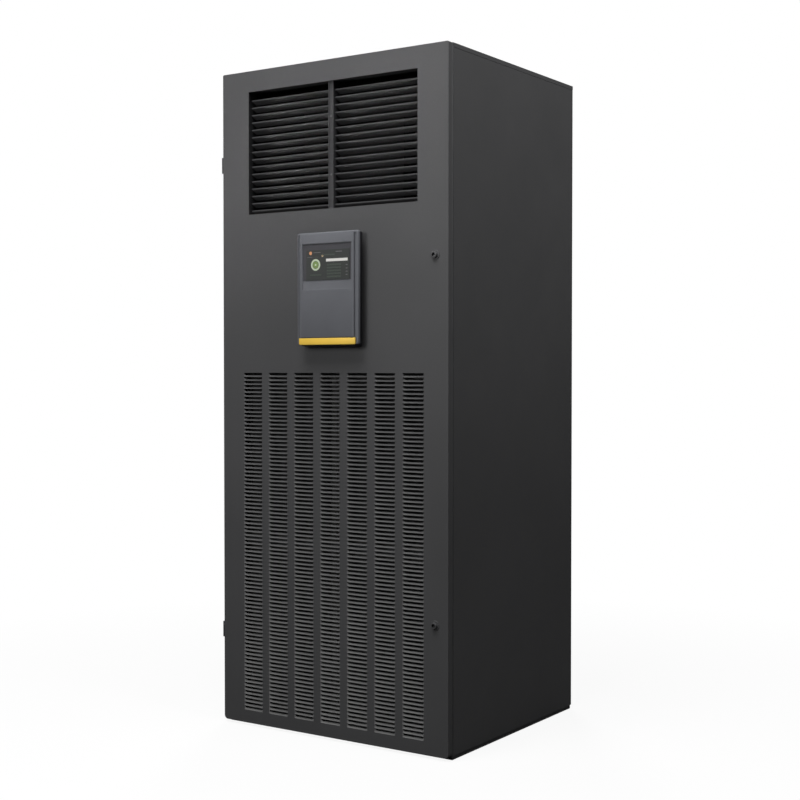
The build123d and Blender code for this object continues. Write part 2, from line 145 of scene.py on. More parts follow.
def varyTone(tree, shader, factor, colour, tones):
    tone = blendColours(tree, factor, shade(colour, tones[0]), shade(colour, tones[1]))
    tree.links.new(tone, shader.inputs["Base Color"])
    return tone


def varyRough(tree, shader, value, rough, margins, limits=()):
    ranged = spread(tree, value, rough - margins[0], rough + margins[1], *limits)
    tree.links.new(ranged, shader.inputs["Roughness"])


# Camera and light

view = {
    "place": (2.4094, -3.5879, 1.0783),
    "turn": -33.935,      # degrees from straight ahead, to the left
    "tip": -1.261,        # degrees above level
    "lens": 62.57,        # mm
    "sensor": 36,         # mm
    "reach": 50,          # metres that the camera sees
}


def makeCamera(settings):
    data = bpy.data.cameras.new("camera")
    data.lens = settings["lens"]
    data.sensor_width = settings["sensor"]
    data.clip_end = settings["reach"]
    camera = bpy.data.objects.new("camera", data)
    scene.collection.objects.link(camera)
    turn, tip = math.radians(settings["turn"]), math.radians(settings["tip"])
    ahead = Vector((math.sin(turn) * math.cos(tip), math.cos(turn) * math.cos(tip), math.sin(tip)))
    camera.location = settings["place"]
    camera.rotation_mode = "QUATERNION"
    camera.rotation_quaternion = ahead.to_track_quat("-Z", "Y")
    scene.camera = camera


# Discs that shine: power in watts, and spread in degrees where it is narrower than 180
lamps = {
    "key": {"place": (-0.35, -3.0, 2.0), "aim": (0.0, -0.3, 1.3), "size": 1.2, "power": 31.5},
    "top": {"place": (0.1, -1.5, 3.7), "aim": (0.1, -0.3, 0.7), "size": 1.6, "power": 66},
    "side": {"place": (1.85, -0.45, 3.45), "aim": (0.4, 0.0, 1.9), "size": 1.3, "power": 41.5},
    "low": {"place": (-2.95, -1.45, 0.45), "aim": (0.0, -0.36, 1.8), "size": 0.5, "power": 0.7,
            "spread": 13},
    "back": {"place": (-1.9, 2.9, 3.2), "aim": (-0.1, 0.2, 1.0), "size": 1.4, "power": 75},
}


def makeLamps(settings):
    for name, lamp in settings.items():
        data = bpy.data.lights.new(name, "AREA")
        data.shape = "DISK"
        data.size = lamp["size"]
        data.energy = lamp["power"]
        data.spread = math.radians(lamp.get("spread", 180))
        light = bpy.data.objects.new(name, data)
        light.location = lamp["place"]
        light.rotation_mode = "QUATERNION"
        light.rotation_quaternion = (Vector(lamp["aim"]) - light.location).to_track_quat("-Z", "Y")
        light.visible_camera = False
        scene.collection.objects.link(light)


surround = {
    "fill": 0.038,          # what reaches the paint from all round
    "mirror": 0.3,          # what glossy faces mirror at eye level
    "ceiling": 2.2,         # what they mirror overhead
    "ceilingFrom": 0.55,    # height on a unit ball where the ceiling starts
    "ceilingTo": 0.92,
    "floor": 0.12,          # what the floor gives back to the cabinet
    "pale": 0.96,           # what the camera sees of it
    "haze": 0.9,            # how white the floor is to the camera near the cabinet
    "hazeTo": 0.8,          # distance from which it turns white
    "clear": 2.4,           # distance at which it's white
    "radius": 30,
    "segments": 96,
}


def makeWorld(settings):
    # White to the camera, dim to the paint, and a brighter ceiling in what glossy faces mirror.
    world = bpy.data.worlds.new("studio")
    scene.world = world
    world.use_nodes = True
    tree = world.node_tree
    tree.nodes.clear()
    path = tree.nodes.new("ShaderNodeLightPath")
    where = tree.nodes.new("ShaderNodeTexCoord")
    split = tree.nodes.new("ShaderNodeSeparateXYZ")
    tree.links.new(where.outputs["Generated"], split.inputs[0])
    ceiling = spread(tree, split.outputs["Z"], settings["mirror"], settings["ceiling"],
                     settings["ceilingFrom"], settings["ceilingTo"])
    mirrored = reckon(tree, "MULTIPLY", path.outputs["Is Glossy Ray"], ceiling)
    seen = reckon(tree, "MAXIMUM", path.outputs["Is Camera Ray"], path.outputs["Is Transmission Ray"])
    strength = reckon(tree, "MAXIMUM", reckon(tree, "MAXIMUM", seen, mirrored), settings["fill"])
    bright = tree.nodes.new("ShaderNodeBackground")
    bright.inputs["Color"].default_value = (1, 1, 1, 1)
    tree.links.new(strength, bright.inputs["Strength"])
    out = tree.nodes.new("ShaderNodeOutputWorld")
    tree.links.new(bright.outputs[0], out.inputs["Surface"])


def makeFloor(settings):
    shape = bmesh.new()
    bmesh.ops.create_circle(shape, cap_ends=True, segments=settings["segments"], radius=settings["radius"])
    data = bpy.data.meshes.new("floor")
    shape.to_mesh(data)
    shape.free()
    floor = bpy.data.objects.new("floor", data)
    scene.collection.objects.link(floor)

    # The camera sees the floor as pale, with the object's shadow near it, and white further off.
    material = bpy.data.materials.new("pale floor")
    material.use_nodes = True
    tree = material.node_tree
    tree.nodes.clear()
    path = tree.nodes.new("ShaderNodeLightPath")
    where = tree.nodes.new("ShaderNodeTexCoord")
    far = tree.nodes.new("ShaderNodeVectorMath")
    far.operation = "LENGTH"
    tree.links.new(where.outputs["Object"], far.inputs[0])
    white = spread(tree, far.outputs["Value"], settings["haze"], 1, settings["hazeTo"], settings["clear"])
    factor = reckon(tree, "MULTIPLY", path.outputs["Is Camera Ray"], white)
    dim = tree.nodes.new("ShaderNodeBsdfDiffuse")
    dim.inputs["Color"].default_value = (settings["floor"],) * 3 + (1,)
    pale = tree.nodes.new("ShaderNodeBsdfDiffuse")
    pale.inputs["Color"].default_value = (settings["pale"],) * 3 + (1,)
    glow = tree.nodes.new("ShaderNodeEmission")
    glow.inputs["Color"].default_value = (1, 1, 1, 1)
    lit = blendShaders(tree, path.outputs["Is Camera Ray"], dim.outputs[0], pale.outputs[0])
    out = tree.nodes.new("ShaderNodeOutputMaterial")
    tree.links.new(blendShaders(tree, factor, lit, glow.outputs[0]), out.inputs["Surface"])
    data.materials.append(material)


scene.view_settings.view_transform = "Standard"
makeCamera(view)
makeLamps(lamps)
makeWorld(surround)
makeFloor(surround)
print("camera, lamps and floor made")


# Materials. A noise is given as scale, detail and roughness, tones as factors of the colour, and
# margins as what the roughness falls and rises by.

powder = {
    "gloss": 0.22, "drift": (2.2, 3), "tones": (0.94, 1.06),
    "specks": (620, 1), "speckLimits": (0.66, 0.8), "speckMost": 0.35, "speckTone": 1.7, "speckLift": 0.02,
    "wear": (7, 4), "margins": (0.05, 0.06),
    "peel": (420, 2), "peelStrength": 0.25, "peelDepth": 0.0004,
    "pits": (1500, 1), "pitStrength": 0.12, "pitDepth": 0.0002,
}


def powderCoat(name, colour, rough=0.5, grain=1.0, settings=powder):
    # Baked powder paint: a fine orange peel, a slow drift of tone and a few dust specks.
    material, tree, shader = startMaterial(name, colour, rough, gloss=settings["gloss"])
    vector = place(tree)
    drift = spread(tree, speckle(tree, vector, *settings["drift"]), 0, 1)
    tone = varyTone(tree, shader, drift, colour, settings["tones"])
    specks = speckle(tree, vector, *settings["specks"])
    dust = spread(tree, specks, 0, settings["speckMost"], *settings["speckLimits"])
    pale = [min(1.0, c * settings["speckTone"] + settings["speckLift"]) for c in colour]
    tree.links.new(blendColours(tree, dust, tone, pale), shader.inputs["Base Color"])
    varyRough(tree, shader, speckle(tree, vector, *settings["wear"]), rough, settings["margins"])
    peel = addBump(tree, shader, speckle(tree, vector, *settings["peel"]),
                   settings["peelStrength"] * grain, settings["peelDepth"])
    addBump(tree, shader, speckle(tree, vector, *settings["pits"]),
            settings["pitStrength"] * grain, settings["pitDepth"], peel)
    return material


# Painted highlight for the louvre tongues: the lighter colour, and the heights over which it fades out
# going up.
lowSheen = {
    "colour": (0.168, 0.168, 0.167), "most": 0.85, "lowZ": 0.05, "highZ": 1.0,
    "patches": (9, 3), "patchSpread": (0.85, 1.15),
}


def paintLowSheen(material, settings):
    # Painted highlight: a lighter colour mixed into the paint, more of it towards the floor, standing in
    # for the overhead light that the lower louvre tongues catch.
    tree = material.node_tree
    shader = tree.nodes["Principled BSDF"]
    painted = shader.inputs["Base Color"].links[0].from_socket
    split = tree.nodes.new("ShaderNodeSeparateXYZ")
    tree.links.new(place(tree), split.inputs[0])
    sheenShare = spread(tree, split.outputs["Z"], settings["most"], 0, settings["lowZ"], settings["highZ"])
    patches = spread(tree, speckle(tree, place(tree), *settings["patches"]), *settings["patchSpread"])
    amount = reckon(tree, "MULTIPLY", sheenShare, patches)
    tree.links.new(blendColours(tree, amount, painted, settings["colour"]), shader.inputs["Base Color"])


zinc = {
    "metal": 0.85, "cells": 60, "tones": (0.8, 1.12), "margins": (0.1, 0.12),
    "dents": (180, 3), "dentStrength": 0.15, "dentDepth": 0.0004,
}


def galvanised(name, colour, rough=0.42, settings=zinc):
    # Hot-dip zinc: crystals of differing tone and gloss.
    material, tree, shader = startMaterial(name, colour, rough, metal=settings["metal"])
    vector = place(tree)
    cells = tree.nodes.new("ShaderNodeTexVoronoi")
    cells.inputs["Scale"].default_value = settings["cells"]
    tree.links.new(vector, cells.inputs["Vector"])
    grey = tree.nodes.new("ShaderNodeSeparateColor")
    tree.links.new(cells.outputs["Color"], grey.inputs["Color"])
    varyTone(tree, shader, grey.outputs["Red"], colour, settings["tones"])
    varyRough(tree, shader, grey.outputs["Green"], rough, settings["margins"], (0, 1))
    dents = speckle(tree, vector, *settings["dents"])
    addBump(tree, shader, dents, settings["dentStrength"], settings["dentDepth"])
    return material


brushed = {
    "metal": 0.9, "lines": (240, 3), "tones": (0.78, 1.15), "margins": (0.08, 0.1),
    "lineStrength": 0.12, "lineDepth": 0.0002,
}


def brushedMetal(name, colour, rough, along, settings=brushed):
    material, tree, shader = startMaterial(name, colour, rough, metal=settings["metal"])
    lines = speckle(tree, place(tree, along), *settings["lines"])
    varyTone(tree, shader, spread(tree, lines, 0, 1), colour, settings["tones"])
    varyRough(tree, shader, lines, rough, settings["margins"])
    addBump(tree, shader, lines, settings["lineStrength"], settings["lineDepth"])
    return material


moulded = {
    "drift": (9, 3), "tones": (0.95, 1.05), "wear": (60, 3), "margins": (0.05, 0.06),
    "pits": (1400, 2, 0.6), "pitStrength": 0.22, "pitDepth": 0.0003,
}


def mouldedPlastic(name, colour, rough=0.5, grain=1.0, gloss=0.3, settings=moulded):
    # Spark-eroded mould grain with a slight tone drift.
    material, tree, shader = startMaterial(name, colour, rough, gloss=gloss)
    vector = place(tree)
    drift = spread(tree, speckle(tree, vector, *settings["drift"]), 0, 1)
    varyTone(tree, shader, drift, colour, settings["tones"])
    varyRough(tree, shader, speckle(tree, vector, *settings["wear"]), rough, settings["margins"])
    pits = speckle(tree, vector, *settings["pits"])
    addBump(tree, shader, pits, settings["pitStrength"] * grain, settings["pitDepth"])
    return material


felt = {
    "rough": 0.95, "gloss": 0.2, "dust": (14, 4), "dustLimits": (0.35, 0.75), "tones": (1, 0.82),
    "along": (1, 1, 0.25), "fibres": (520, 4, 0.7), "fibreStrength": 0.5, "fibreDepth": 0.0006,
}


def filterFelt(name, colour, settings=felt):
    material, tree, shader = startMaterial(name, colour, settings["rough"], gloss=settings["gloss"])
    fibres = speckle(tree, place(tree, settings["along"]), *settings["fibres"])
    dust = spread(tree, speckle(tree, place(tree), *settings["dust"]), 0, 1, *settings["dustLimits"])
    varyTone(tree, shader, dust, colour, settings["tones"])
    addBump(tree, shader, fibres, settings["fibreStrength"], settings["fibreDepth"])
    return material


glowing = {"rough": 0.35, "gloss": 0.3, "grid": (900, 1), "tones": (0.9, 1)}


def screenLight(name, colour, glow, settings=glowing):
    material, tree, shader = startMaterial(name, colour, settings["rough"], gloss=settings["gloss"])
    grid = spread(tree, speckle(tree, place(tree), *settings["grid"]), 0, 1)
    varyTone(tree, shader, grid, colour, settings["tones"])
    shader.inputs["Emission Color"].default_value = tuple(colour) + (1,)
    shader.inputs["Emission Strength"].default_value = glow
    return material


sheetPaint = (0.069, 0.069, 0.071)
doorPaint = powderCoat("door paint", sheetPaint)
louvrePaint = powderCoat("louvre paint", shade(sheetPaint, 0.92))
# The louvre tongues get a painted highlight that grows towards the floor.
paintLowSheen(louvrePaint, lowSheen)
cabinetPaint = powderCoat("cabinet paint", sheetPaint)
framePaint = powderCoat("frame paint", (0.032, 0.032, 0.034), 0.55)
grillePaint = powderCoat("vane paint", (0.05, 0.05, 0.052), 0.46)
controlPaint = powderCoat("control box paint", (0.17, 0.17, 0.18), 0.5, 1.4)
sleevePaint = powderCoat("outlet sleeve paint", (0.01, 0.01, 0.0105), 0.6)
# The mullion's paint is a darker copy of the door's, painted shade for where it sits set back in the
# outlet.
mullionShadedPaint = powderCoat("mullion paint, painted shade", (0.042, 0.042, 0.044))
lockPaint = powderCoat("lock paint", (0.07, 0.07, 0.073), 0.4, 0.5)
zincSheet = galvanised("galvanised sheet", (0.4, 0.41, 0.42))
trackZinc = galvanised("dull galvanised track", (0.08, 0.082, 0.085), 0.6)
hingeSteel = brushedMetal("blackened hinge steel", (0.07, 0.07, 0.074), 0.42, (1, 1, 0.2))
lockMetal = brushedMetal("lock metal", (0.12, 0.12, 0.124), 0.42, (1, 0.2, 1))
mullionSteel = brushedMetal("mullion screw", (0.15, 0.15, 0.15), 0.4, (1, 0.3, 1))
screwSteel = brushedMetal("zinc screw", (0.5, 0.5, 0.5), 0.3, (1, 0.3, 1))
# The key sockets are near black, painted shade for the depth of the key hole.
keySocketShade = mouldedPlastic("black key socket, painted shade", (0.006, 0.006, 0.007), 0.6, 0.3)
housingPlastic = mouldedPlastic("black housing plastic", (0.014, 0.014, 0.016))
bezelPlastic = mouldedPlastic("grey violet bezel plastic", (0.122, 0.126, 0.139), 0.55, 1.0, 0.2)
accentPlastic = mouldedPlastic("yellow plastic", (0.86, 0.565, 0.08), 0.45, 0.6)
screenGlass = mouldedPlastic("screen glass", (0.05, 0.053, 0.051), 0.45, 0.02, 0.1)
headerPlastic = mouldedPlastic("dark header plastic", (0.062, 0.061, 0.068), 0.5, 0.5, 0.15)
# The filter media is dark grey rather than its own white, painted shade for the dark seen behind the
# louvres.
filterMediaShaded = filterFelt("filter media, painted shade", (0.11, 0.112, 0.11))
filterCard = filterFelt("filter card", (0.07, 0.068, 0.064))
# The black lining is partly foam and partly painted shade inside the outlet.
liningFoamAndShade = filterFelt("black lining foam and painted shade", (0.012, 0.012, 0.012))
# The gasket's grey is lighter than the cabinet paint, painted light that lightens the shaded gap round the
# door.
gasketFoamLightened = filterFelt("grey gasket foam, painted light", (0.09, 0.09, 0.093))
lightPaleGreen = screenLight("pale green light", (0.5, 0.57, 0.43), 0.12)
lightGreen = screenLight("green light", (0.17, 0.26, 0.08), 0.1)
lightOrange = screenLight("orange light", (0.62, 0.3, 0.15), 0.12)
lightCream = screenLight("cream light", (0.66, 0.65, 0.62), 0.12)
lightSand = screenLight("sand light", (0.55, 0.42, 0.27), 0.1)
lightGrey = screenLight("grey light", (0.16, 0.16, 0.165), 0.04)
lightMoss = screenLight("moss light", (0.058, 0.072, 0.06), 0.02)

finishes = {
    "cabinet_paint": cabinetPaint, "door_paint": doorPaint, "frame_paint": framePaint,
    "grille_paint": grillePaint, "galvanised_sheet": zincSheet, "control_paint": controlPaint,
    "filter_media": filterMediaShaded, "hinge_steel": hingeSteel, "lock_metal": lockMetal,
    "housing_plastic": housingPlastic, "bezel_plastic": bezelPlastic, "screen_glass": screenGlass,
    "accent_plastic": accentPlastic,
}
# Nodes that look unlike the rest of their slot
ownFinishes = {
    "grille_frame": sleevePaint, "base_pan": cabinetPaint, "filter_track_bottom": trackZinc,
    "filter_track_middle": trackZinc, "filter_track_top": trackZinc,
}
for part in frame["record"]["subparts"]:
    node = nodes[part["node"]]
    node.data.materials.clear()
    node.data.materials.append(ownFinishes.get(part["node"], finishes[part["material_slot"]]))
print("materials made:", len(finishes))


# Tools for the pieces

near = 1e-5      # metres within which two places count as one


def makePiece(name, shape, material, body, replaced=(), smooth=35):
    data = bpy.data.meshes.new(name)
    shape.to_mesh(data)
    shape.free()
    data.materials.append(material)
    data.shade_smooth()
    data.set_sharp_from_angle(angle=math.radians(smooth))
    piece = bpy.data.objects.new(name, data)
    scene.collection.objects.link(piece)
    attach(piece, body)
    if replaced:
        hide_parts(*replaced)


def roundEdges(shape, edges, offset, steps):
    bmesh.ops.bevel(shape, geom=edges, offset=offset, segments=steps, profile=0.5,
                    affect="EDGES", material=-1)


def addBlock(shape, low, high, soft=0.0, steps=1):
    low, high = Vector(low), Vector(high)
    middle = Matrix.Translation((low + high) / 2) @ Matrix.Diagonal((*(high - low), 1))
    verts = bmesh.ops.create_cube(shape, size=1, matrix=middle)["verts"]
    if soft:
        roundEdges(shape, list({edge for vert in verts for edge in vert.link_edges}), soft, steps)
    return verts


def addBlocks(shape, blocks, soft=0.0, steps=1):
    for low, high in blocks:
        addBlock(shape, low, high, soft, steps)


def roundAlongY(shape, edges, offset, steps=4):
    rising = [e for e in edges if abs(e.verts[0].co.y - e.verts[1].co.y) > near]
    roundEdges(shape, rising, offset, steps)


def roundFront(shape, front, offset, steps=3):
    rim = [e for e in shape.edges if all(abs(v.co.y - front) < near for v in e.verts)]
    roundEdges(shape, rim, offset, steps)


def facesFront(face):
    return face.normal.y < -0.99


def facing(place, aim):
    # Turns a shape made round local Z so that Z points along aim.
    return Matrix.Translation(place) @ Vector(aim).to_track_quat("Z", "Y").to_matrix().to_4x4()


def addDisc(shape, place, aim, radius, thick, segments, inner=0.0):
    # A flat disc or ring that stands on place and rises along aim.
    turned = {"segments": segments, "matrix": facing(place, aim)}
    if inner:
        outerRing = bmesh.ops.create_circle(shape, radius=radius, **turned)["verts"]
        innerRing = bmesh.ops.create_circle(shape, radius=inner, **turned)["verts"]
        edges = list({e for v in outerRing + innerRing for e in v.link_edges})
        faces = bmesh.ops.bridge_loops(shape, edges=edges)["faces"]
    else:
        ring = bmesh.ops.create_circle(shape, cap_ends=True, radius=radius, **turned)["verts"]
        faces = list({f for v in ring for f in v.link_faces})
    raised = bmesh.ops.extrude_face_region(shape, geom=faces)["geom"]
    moved = [g for g in raised if isinstance(g, bmesh.types.BMVert)]
    bmesh.ops.translate(shape, verts=moved, vec=Vector(aim).normalized() * thick)
    bmesh.ops.recalc_face_normals(shape, faces=shape.faces)


# Pressed louvres: each is a tongue whose top edge leans in from the skin, and whose ends are drawn
# back to it
louvre = {
    "columns": 7, "rows": 85, "columnPitch": 0.096, "rowPitch": 0.012, "foot": 0.048,
    "length": 0.071, "rise": 0.005, "recess": 0.0048, "curve": 1.5, "sheet": 0.0012,
    "drawn": 0.0055, "steps": 2, "levels": 2,
}


def makeLouvres(settings):
    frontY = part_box("door_panel")[0].y
    half, drawn, steps = settings["length"] / 2, settings["drawn"], settings["steps"]
    first = bmesh.new()
    bmesh.ops.create_grid(first, x_segments=2 * steps + 1, y_segments=settings["levels"], size=1)
    stations = [-half + drawn * k / steps for k in range(steps + 1)]
    stations += [-x for x in reversed(stations)]
    for vert in first.verts:
        x = stations[round((vert.co.x + 1) / 2 * (len(stations) - 1))]
        up = (vert.co.y + 1) / 2
        bow = math.sin(min(1.0, (half - abs(x)) / drawn) * math.pi / 2)
        top = settings["rowPitch"] - (settings["rowPitch"] - settings["rise"]) * bow
        vert.co = (x, up ** settings["curve"] * bow * settings["recess"], up * top)
    bmesh.ops.recalc_face_normals(first, faces=first.faces)
    if first.faces[:][0].normal.y > 0:
        bmesh.ops.reverse_faces(first, faces=first.faces)
    bmesh.ops.solidify(first, geom=first.faces[:], thickness=settings["sheet"])
    tongue = bpy.data.meshes.new("tongue")
    first.to_mesh(tongue)
    first.free()
    shape = bmesh.new()
    for column in range(settings["columns"]):
        x = (column - (settings["columns"] - 1) / 2) * settings["columnPitch"]
        for row in range(settings["rows"]):
            before = len(shape.verts)
            shape.from_mesh(tongue)
            shape.verts.ensure_lookup_table()
            z = settings["foot"] + row * settings["rowPitch"]
            bmesh.ops.translate(shape, verts=shape.verts[before:], vec=(x, frontY, z))
    bpy.data.meshes.remove(tongue)
    makePiece("louvreTongues", shape, louvrePaint, "door", ["door_louvres"], smooth=40)


makeLouvres(louvre)
print("louvres made")


# Vanes of the outlet: a rounded nose and a thin tail that falls towards the back
vane = {
    "rows": 16, "pitch": 0.022, "drop": 0.024, "setback": 0.016, "depth": 0.02, "fall": 0.01,
    "nose": 0.005, "tail": 0.0015, "round": 0.0016, "roundSteps": 3,
}


def makeVanes(settings):
    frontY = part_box("door_panel")[0].y
    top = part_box("grille_mullion")[1].z
    for side in ("left", "right"):
        low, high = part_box(f"grille_blades_{side}")
        long = high.x - low.x
        half, end = settings["nose"] / 2, settings["tail"] / 2
        fall, depth = settings["fall"], settings["depth"]
        shape = bmesh.new()
        for row in range(settings["rows"]):
            z = top - settings["drop"] - row * settings["pitch"]
            y = frontY + settings["setback"]
            tail = (y + depth, z - fall + end), (y + depth, z - fall - end)
            corners = [(y, z - half), (y, z + half), *tail]
            face = shape.faces.new([shape.verts.new((low.x, *corner)) for corner in corners])
            raised = bmesh.ops.extrude_face_region(shape, geom=[face])["geom"]
            moved = [g for g in raised if isinstance(g, bmesh.types.BMVert)]
            bmesh.ops.translate(shape, verts=moved, vec=(long, 0, 0))
            edges = {e for v in moved + list(face.verts) for e in v.link_edges}
            noseEdges = [e for e in edges
                         if abs(e.calc_length() - long) < near and e.verts[0].co.y < y + depth / 2]
            roundEdges(shape, noseEdges, settings["round"], settings["roundSteps"])
        bmesh.ops.recalc_face_normals(shape, faces=shape.faces)
        makePiece(f"vanes_{side}", shape, grillePaint, "door", [f"grille_blades_{side}"])


makeVanes(vane)


# Black lining of the air path, and of the pockets behind the blower mouths: partly the duct's foam lining,
# partly painted shade that keeps the inside of the outlet and the blower mouths dark
lining = {
    "thick": 0.0008, "sheet": 0.0015, "front": 0.001,
    "mouths": ((-0.27, -0.05), (0.05, 0.27)), "mouthHalf": 0.125, "mouthDepth": 0.063,
}


def makeLining(settings):
    thick, sheet, mouths = settings["thick"], settings["sheet"], settings["mouths"]
    low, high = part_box("supply_duct")
    a = Vector((low.x + sheet, low.y + settings["front"], low.z + sheet))
    b = Vector((high.x - sheet, high.y, high.z - sheet))
    middle = (low.z + high.z) / 2
    foot, head = middle - settings["mouthHalf"], middle + settings["mouthHalf"]
    deck, back = b.y - thick, b.y + settings["mouthDepth"]
    blocks = [
        (a, (b.x, b.y, a.z + thick)),
        ((a.x, a.y, b.z - thick), b),
        ((a.x, a.y, a.z + thick), (a.x + thick, b.y, b.z - thick)),
        ((b.x - thick, a.y, a.z + thick), (b.x, b.y, b.z - thick)),
        ((a.x, deck, a.z), (b.x, b.y, foot)),
        ((a.x, deck, head), (b.x, b.y, b.z)),
    ]
    for x0, x1 in ((a.x, mouths[0][0]), (mouths[0][1], mouths[1][0]), (mouths[1][1], b.x)):
        blocks.append(((x0, deck, foot), (x1, b.y, head)))
    # Each pocket is closed at its back by a black sheet, painted shade in front of the blower.
    for x0, x1 in mouths:
        blocks += [
            ((x0, back - thick, foot), (x1, back, head)),
            ((x0, b.y, foot), (x0 + thick, back, head)),
            ((x1 - thick, b.y, foot), (x1, back, head)),
            ((x0, b.y, foot), (x1, back, foot + thick)),
            ((x0, b.y, head - thick), (x1, back, head)),
        ]
    shape = bmesh.new()
    addBlocks(shape, blocks)
    makePiece("airPathLining", shape, liningFoamAndShade, "cabinet")


makeLining(lining)


# Mullion: a bar with a shallow channel down its front, painted darker than the door as painted shade for
# its place set back in the outlet
mullion = {"edge": 0.0045, "slope": 0.0012, "deep": 0.0025, "soft": 0.0006, "softSteps": 2}


def makeMullion(settings):
    low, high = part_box("grille_mullion")
    shape = bmesh.new()
    addBlock(shape, low, high)
    front = [f for f in shape.faces if facesFront(f)]
    bmesh.ops.inset_region(shape, faces=front, thickness=settings["edge"], depth=0)
    bmesh.ops.inset_region(shape, faces=front, thickness=settings["slope"], depth=-settings["deep"])
    roundFront(shape, low.y, settings["soft"], settings["softSteps"])
    makePiece("mullionBar", shape, mullionShadedPaint, "door", ["grille_mullion"])


makeMullion(mullion)
print("outlet made")


# Display module: a moulded frame with a groove at each side, a proud front plate with the sunk screen
# and a sloping lip under it, a yellow bar, and the black housing behind
display = {
    "wide": 0.218, "corner": 0.006, "edge": 0.0035, "rim": 0.0036, "frameDepth": 0.0125,
    "grooveIn": 0.0955, "grooveOut": 0.1035, "grooveDepth": 0.0025, "grooveEnd": 0.006,
    "grooveSlope": 0.0006,
    "plate": 0.0955, "plateEdge": 0.00342, "plateCorner": 0.004, "plateSeat": 0.0002, "plateTop": 0.0008,
    "recess": 0.087, "header": 0.019, "sill": 0.001, "lip": 1.307, "lipStep": 0.0008, "slope": 0.0008,
    "band": 0.0003, "bandGap": 0.0002, "bandFoot": 0.0004, "barEdge": 0.0011, "barCorner": 0.004,
    "barSteps": 2, "housing": 0.098, "housingDrop": 0.004,
}


def cutAt(shape, normal, places):
    # Cuts the whole shape by planes across an axis.
    for place in places:
        bmesh.ops.bisect_plane(shape, geom=shape.verts[:] + shape.edges[:] + shape.faces[:], dist=near,
                               plane_co=Vector(normal) * place, plane_no=normal)


def sink(shape, front, across, upward, depth, slope):
    # Sinks the part of the front face that lies between two places across and two upward.
    faces = []
    for f in shape.faces:
        middle = f.calc_center_median()
        inside = across[0] < middle.x < across[1] and upward[0] < middle.z < upward[1]
        if inside and facesFront(f) and abs(middle.y - front) < near:
            faces.append(f)
    bmesh.ops.inset_region(shape, faces=faces, thickness=slope, depth=-depth)


def makeBezel(settings):
    low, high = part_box("display_bezel")
    front, middle = low.y, (low.x + high.x) / 2
    rimY, half = front + settings["rim"], settings["wide"] / 2
    shape = bmesh.new()
    addBlock(shape, (middle - half, rimY, low.z), (middle + half, front + settings["frameDepth"], high.z))
    roundAlongY(shape, shape.edges, settings["corner"])
    roundFront(shape, rimY, settings["edge"])
    ends = (low.z + settings["grooveEnd"], high.z - settings["grooveEnd"])
    inner, outer = settings["grooveIn"], settings["grooveOut"]
    grooves = [(middle - outer, middle - inner), (middle + inner, middle + outer)]
    cutAt(shape, (1, 0, 0), grooves[0] + grooves[1])
    cutAt(shape, (0, 0, 1), ends)
    for groove in grooves:
        sink(shape, rimY, groove, ends, settings["grooveDepth"], settings["grooveSlope"])
    makePiece("bezelFrame", shape, bezelPlastic, "door", ["display_bezel"])


def makePlate(settings):
    low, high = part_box("display_bezel")
    glassLow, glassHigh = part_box("display_screen")
    front, middle, floor = low.y, (low.x + high.x) / 2, glassHigh.y
    half, backY = settings["plate"], front + settings["rim"] + settings["plateSeat"]
    footZ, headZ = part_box("display_accent_bar")[1].z, high.z - settings["plateTop"]
    shape = bmesh.new()
    addBlock(shape, (middle - half, front, footZ), (middle + half, backY, headZ))
    roundAlongY(shape, shape.edges, settings["plateCorner"])
    roundFront(shape, front, settings["plateEdge"])
    left, right = middle - settings["recess"], middle + settings["recess"]
    sillZ, topZ, lipZ = glassLow.z - settings["sill"], glassHigh.z + settings["header"], settings["lip"]
    cutAt(shape, (1, 0, 0), (left, right))
    cutAt(shape, (0, 0, 1), (sillZ, topZ, lipZ))
    sink(shape, front, (left, right), (lipZ, topZ), floor - front, settings["slope"])
    for vert in shape.verts:
        if abs(vert.co.y - floor) < near and vert.co.z < lipZ + 2 * settings["slope"]:
            vert.co.y = front + settings["lipStep"]
    makePiece("bezelPlate", shape, bezelPlastic, "door")

    shape = bmesh.new()
    inside, thick = settings["slope"] + settings["bandGap"], settings["band"]
    addBlock(shape, (left + inside, floor - thick, sillZ + settings["bandFoot"]),
             (right - inside, floor + thick, topZ - inside))
    makePiece("headerBand", shape, headerPlastic, "door")


def makeBar(settings):
    low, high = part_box("display_accent_bar")
    shape = bmesh.new()
    addBlock(shape, low, high)
    lower = [e for e in shape.edges if e.verts[0].co.z < (low.z + high.z) / 2]
    roundAlongY(shape, lower, settings["barCorner"])
    roundFront(shape, low.y, settings["barEdge"], settings["barSteps"])
    makePiece("accentBar", shape, accentPlastic, "door", ["display_accent_bar"])


def makeHousing(settings):
    low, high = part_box("display_bezel")
    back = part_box("display_housing")[1].y
    middle, half = (low.x + high.x) / 2, settings["housing"]
    shape = bmesh.new()
    addBlock(shape, (middle - half, low.y + settings["frameDepth"], low.z - settings["housingDrop"]),
             (middle + half, back, high.z))
    roundAlongY(shape, shape.edges, settings["corner"])
    makePiece("rearHousing", shape, housingPlastic, "door", ["display_housing"])


makeBezel(display)
makePlate(display)
makeBar(display)
makeHousing(display)


